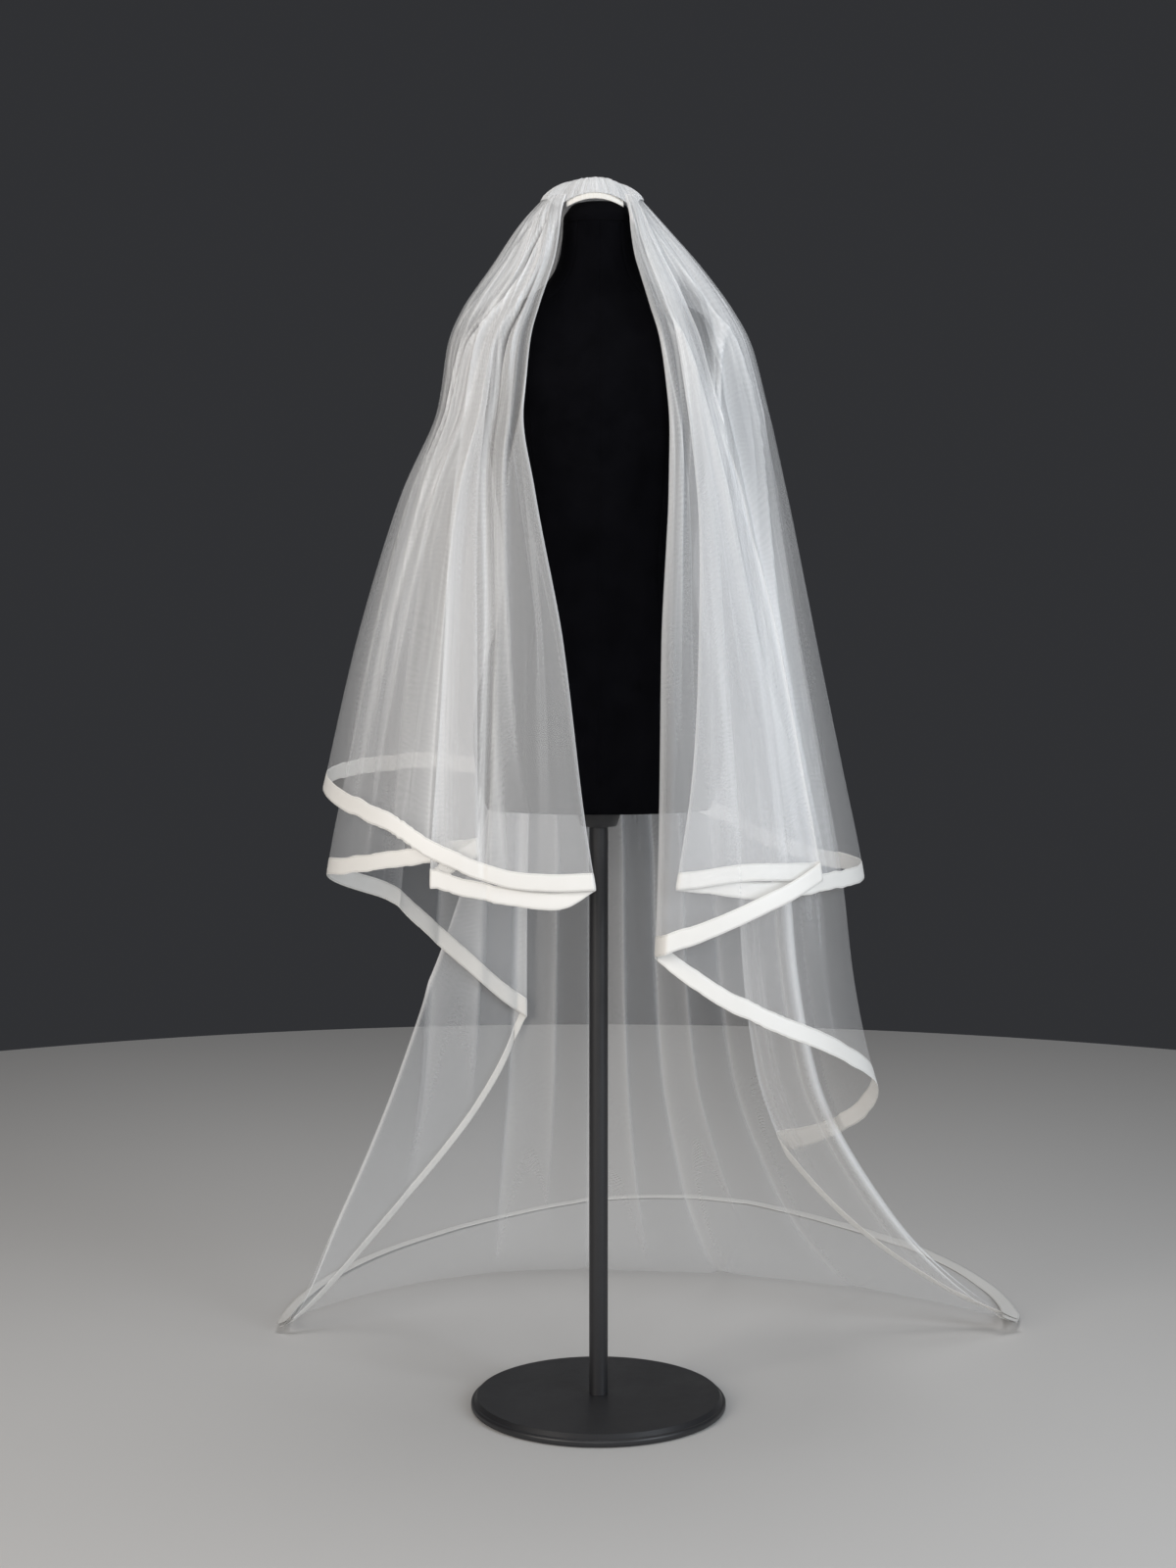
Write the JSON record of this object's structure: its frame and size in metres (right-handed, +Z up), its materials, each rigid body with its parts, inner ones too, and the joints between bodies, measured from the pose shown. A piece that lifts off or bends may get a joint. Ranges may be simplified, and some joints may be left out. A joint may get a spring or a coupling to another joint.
{
  "type": "bridal veil on dress form",
  "caption": "Two-tier veil of tulle with a ribbon edge, gathered on a comb and worn by a limbless dress form, its long tier trailing on the floor.",
  "frame": {"origin": "centre of the dress form's base, on the floor", "axes": "+Z up, the form faces -Y, its left side as seen from the front is -X"},
  "size_m": [1.1009, 1.352, 1.6144],
  "materials": {
    "tulle": "sheer nylon tulle",
    "satin": "satin",
    "velvet": "velvet",
    "comb_plastic": "clear plastic",
    "stand_metal": "satin black"
  },
  "bodies": {
    "root": {"tulle_left_front": "tulle", "tulle_left_second": "tulle", "tulle_left_third": "tulle", "tulle_left_fourth": "tulle", "tulle_left_rear": "tulle", "tulle_left_rear_pleat": "tulle", "tulle_long_back": "tulle", "tulle_right_rear_pleat": "tulle", "tulle_right_rear": "tulle", "tulle_right_lower": "tulle", "tulle_right_diagonal": "tulle", "tulle_right_second": "tulle", "tulle_right_third": "tulle", "tulle_upper_back": "tulle", "ribbon_left_front": "satin", "ribbon_left_second": "satin", "ribbon_left_third": "satin", "ribbon_left_fourth": "satin", "ribbon_left_rear": "satin", "ribbon_left_rear_pleat": "satin", "ribbon_long_back": "satin", "ribbon_right_rear_pleat": "satin", "ribbon_right_rear": "satin", "ribbon_right_lower": "satin", "ribbon_right_diagonal": "satin", "ribbon_right_second": "satin", "ribbon_right_third": "satin", "ribbon_upper_back": "satin", "gathered_header": "tulle", "satin_band": "satin", "comb": "comb_plastic", "form_torso": "velvet", "form_neck_cap": "velvet", "stand_collar": "stand_metal", "stand_pole": "stand_metal", "stand_base": "stand_metal"}
  },
  "joints": []
}
